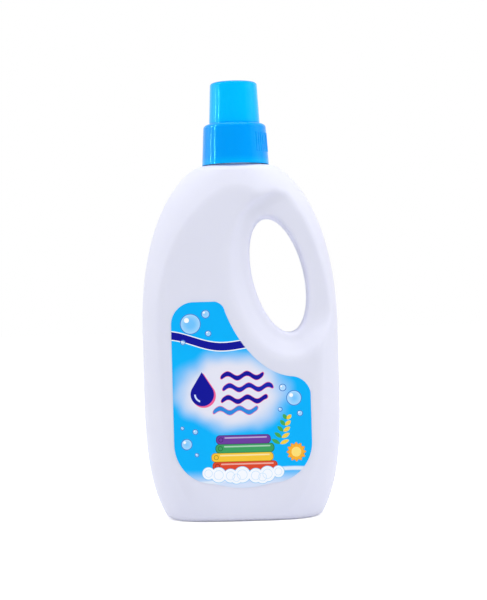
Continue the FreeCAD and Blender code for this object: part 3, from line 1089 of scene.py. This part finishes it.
def drop_printed(under, u, v):
    """Print a navy water drop with a pink shadow and a pale shine."""
    x, z, radius = BIG_DROP
    height = radius * DROP_TALL
    ink = printed(under, colour(*PINK), drop(u, v, (x + 0.9, z - 0.8), radius + 0.2, height))
    ink = printed(ink, colour(*NAVY), drop(u, v, (x, z), radius, height))
    shine = abs(disc(u, v, (x, z), 0.62 * radius)) - 0.5
    shine = greater(shine, u - (x - 0.2 * radius))
    return printed(ink, colour(206, 222, 255), greater(shine, v - z))


def ripples_printed(under, u, v):
    """Print short waving lines with pink edges."""
    ink = under
    for height, start, end, shade in RIPPLES:
        line = height + RIPPLE_SWING * calculated("SINE", (u - start) * (2 * math.pi / RIPPLE_LENGTH))
        past = greater(greater(start - u, u - end), 0.0)
        ripple = length(past, v - line) - RIPPLE_HALF_WIDTH
        ink = printed(ink, colour(*PINK), ripple - 0.3)
        ink = printed(ink, colour(*shade), ripple)
    return ink


def sprig_printed(under, u, v):
    """Print a sprig with green leaves on one side and yellow ones on the other."""
    ink = under
    for step in range(SPRIG_LEAVES):
        foot = (SPRIG_FOOT[0] + SPRIG_STEP[0] * step, SPRIG_FOOT[1] + SPRIG_STEP[1] * step)
        half_length = 2.9 - 0.25 * step
        ink = printed(ink, colour(70, 168, 84), leaf(u, v, foot, 150.0 - 6 * step, half_length, 1.15))
        ink = printed(ink, colour(246, 208, 64), leaf(u, v, foot, 22.0 + 6 * step, half_length, 1.15))
    return ink


def front_print(place, u, v):
    """Print the front: a pale cloud with a drop and ripples, bubbles, folded towels, a sprig and a sun."""
    ink = ground_printed(place, u, v)
    wander = (noise(place, 16.0 * MM, 1.0) - 0.5) * CLOUD_WANDER
    cloud_u = (u - CLOUD_CENTRE[0]) / CLOUD_HALF_SIZE[0]
    cloud_v = (v - CLOUD_CENTRE[1]) / CLOUD_HALF_SIZE[1]
    cloud = (length(cloud_u, cloud_v) - 1.0) * CLOUD_REACH + wander
    cloud = share(0.5 - cloud / CLOUD_SOFT)
    ink = mixed(cloud * cloud * (3.0 - 2.0 * cloud), ink, colour(230, 231, 243))
    ink = printed(ink, colour(226, 236, 250), wave_band(u, v, **FOOT_SWOOSH), 0.8)
    ink = navy_wave_printed(ink, u, v, FRONT_WAVE)
    ink = drop_printed(ink, u, v)
    ink = ripples_printed(ink, u, v)
    ink = sprig_printed(ink, u, v)
    ink = sun_printed(ink, u, v, FRONT_SUN, 4.9, 0.55)
    ink = printed(ink, colour(255, 226, 120), disc(u, v, FRONT_SUN, 2.9))
    ink = towels_printed(ink, u, v)
    return bubbles_printed(ink, u, v, FRONT_BUBBLES)


def back_print(place, u, v):
    """Print the back: a pale panel with ruled lines, a navy wave, a sun and bubbles."""
    ink = ground_printed(place, u, v)
    ink = printed(ink, colour(232, 238, 250), bar(u, v, **RULED_PANEL))
    row = (v - RULE_FOOT) / RULE_PITCH
    step = calculated("FLOOR", row)
    in_row = abs(row - step - 0.5) * RULE_PITCH - RULE_HALF_HEIGHT
    ragged = RULE_RIGHT - RULE_RAGGED * (1.0 + calculated("SINE", step * 2.4 + 0.6))
    rules = greater(in_row, greater(RULE_LEFT - u, u - ragged))
    rules = greater(rules, greater(RULES_LOW - v, v - RULES_HIGH))
    ink = printed(ink, colour(120, 150, 205), rules)
    ink = navy_wave_printed(ink, u, v, BACK_WAVE)
    ink = sun_printed(ink, u, v, BACK_SUN, 4.2, 0.5)
    return bubbles_printed(ink, u, v, BACK_BUBBLES)


def label_film(name, side, artwork):
    """Printed film with a soft gloss, read from its own side of the bottle."""
    material, tree, shader, place = new_material(name, Specular_IOR_Level=0.1)
    x, y, z = split(place)
    ink = artwork(place, x * (side / MM), z / MM)
    plug(ink, shader.inputs["Base Color"])
    ripple = noise(place, 2.5 * MM)
    plug(0.3 + ripple * 0.08, shader.inputs["Roughness"])
    bumped(shader, ripple, 0.012 * MM)
    return material


def spout_plastic():
    """Natural polyethylene, milky."""
    material, tree, shader, place = new_material(
        "natural_polyethylene",
        Subsurface_Weight=0.3,
        Subsurface_Scale=0.002,
    )
    cloudy = noise(place, 6.0 * MM)
    plug(mixed(cloudy, colour(236, 238, 238), colour(228, 231, 232)), shader.inputs["Base Color"])
    plug(0.42 + cloudy * 0.1, shader.inputs["Roughness"])
    bumped(shader, noise(place, 0.6 * MM), 0.006 * MM)
    return material


def seal_foam():
    """Foamed polyethylene with fine pores."""
    material, tree, shader, place = new_material("foamed_polyethylene")
    pores = noise(place, 0.35 * MM, 3.0)
    plug(mixed(pores, colour(240, 240, 236), colour(222, 222, 216)), shader.inputs["Base Color"])
    plug(0.7 + pores * 0.2, shader.inputs["Roughness"])
    bumped(shader, pores, 0.03 * MM)
    return material


def dress(node, material):
    """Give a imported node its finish."""
    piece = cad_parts[node]
    piece.data.materials.clear()
    piece.data.materials.append(material)


# Studio


def area_light(name, place, target, size, power, tint=(1.0, 1.0, 1.0)):
    """Hang a soft box that looks at a point."""
    light = bpy.data.lights.new(name, "AREA")
    light.shape = "RECTANGLE"
    light.size, light.size_y = size
    light.energy = power
    light.color = tint
    box = bpy.data.objects.new(name, light)
    box.location = place
    box.rotation_euler = (Vector(target) - Vector(place)).to_track_quat("-Z", "Y").to_euler()
    bpy.context.scene.collection.objects.link(box)
    return box


def seen_rays(tree):
    """Give 1 for rays that show the background: to the camera, off gloss and through clear things."""
    path = tree.nodes.new("ShaderNodeLightPath")
    seen = Field(tree, path.outputs["Is Camera Ray"])
    seen = greater(seen, Field(tree, path.outputs["Is Glossy Ray"]))
    return greater(seen, Field(tree, path.outputs["Is Transmission Ray"]))


def make_world(level):
    """Light the scene evenly from all round, behind a white background."""
    world = bpy.data.worlds.new("studio")
    bpy.context.scene.world = world
    world.use_nodes = True
    tree = world.node_tree
    background = tree.nodes["Background"]
    seen = seen_rays(tree)
    plug(mixed(seen, WORLD_TINT, WHITE), background.inputs["Color"])
    plug(level + seen * (1.0 - level), background.inputs["Strength"])


def make_floor():
    """Lay the white floor, which keeps the object's shadow."""
    corners = [(x * FLOOR_HALF, y * FLOOR_HALF, 0) for x, y in ((-1, -1), (1, -1), (1, 1), (-1, 1))]
    mesh = bpy.data.meshes.new("studio_floor")
    mesh.from_pydata(corners, [], [(0, 1, 2, 3)])
    material = bpy.data.materials.new("studio_floor")
    material.use_nodes = True
    tree = material.node_tree
    shader = tree.nodes["Principled BSDF"]
    shader.inputs["Base Color"].default_value = FLOOR_WHITE
    shader.inputs["Roughness"].default_value = 1.0
    shader.inputs["Specular IOR Level"].default_value = 0.0
    shader.inputs["Emission Color"].default_value = WHITE
    seen = seen_rays(tree)
    plug(seen * FLOOR_GLOW, shader.inputs["Emission Strength"])
    mesh.materials.append(material)
    floor = new_piece("studio_floor", mesh)


def make_lights():
    """Hang the soft boxes, and two tall strips that only show as fine lines in the cap's gloss."""
    for name, (place, size, power) in SOFT_BOXES.items():
        area_light(name, place, LIGHTS_AIM, size, power)
    glossy = bpy.data.collections.new("glossy_cap")
    glossy.objects.link(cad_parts["cap"])
    glossy.objects.link(bpy.data.objects["cap_grip_ribs"])
    for name, (turn_deg, power) in STRIPS.items():
        turn = math.radians(turn_deg)
        place = (-math.sin(turn), -math.cos(turn), STRIP_HEIGHT)
        strip = area_light(name, place, (0.0, 0.0, STRIP_HEIGHT), STRIP_SIZE, power, STRIP_TINT)
        strip.visible_diffuse = False
        strip.light_linking.receiver_collection = glossy


def make_camera():
    """Set the camera where the photograph was taken from."""
    data = bpy.data.cameras.new("camera")
    data.sensor_fit = "VERTICAL"
    data.sensor_height = SENSOR_HEIGHT_MM
    data.lens = SENSOR_HEIGHT_MM * FOCAL_PX / IMAGE_HEIGHT_PX
    camera = bpy.data.objects.new("camera", data)
    level = Euler((math.pi / 2, 0.0, 0.0)).to_matrix().to_4x4()
    roll = Matrix.Rotation(math.radians(CAMERA_ROLL_DEG), 4, "Z")
    camera.matrix_world = Matrix.Translation(CAMERA_PLACE) @ level @ roll
    bpy.context.scene.collection.objects.link(camera)
    bpy.context.scene.camera = camera


bpy.context.scene.view_settings.view_transform = "Standard"
white_plastic = bottle_plastic()
blue_plastic = cap_plastic()
make_bottle(white_plastic)
make_seam(white_plastic)
make_ribs(blue_plastic)
dress("cap", blue_plastic)
dress("pour_spout", spout_plastic())
dress("cap_seal", seal_foam())
dress("front_label", label_film("front_label_film", 1.0, front_print))
dress("back_label", label_film("back_label_film", -1.0, back_print))
make_world(WORLD_LEVEL)
make_floor()
make_lights()
make_camera()
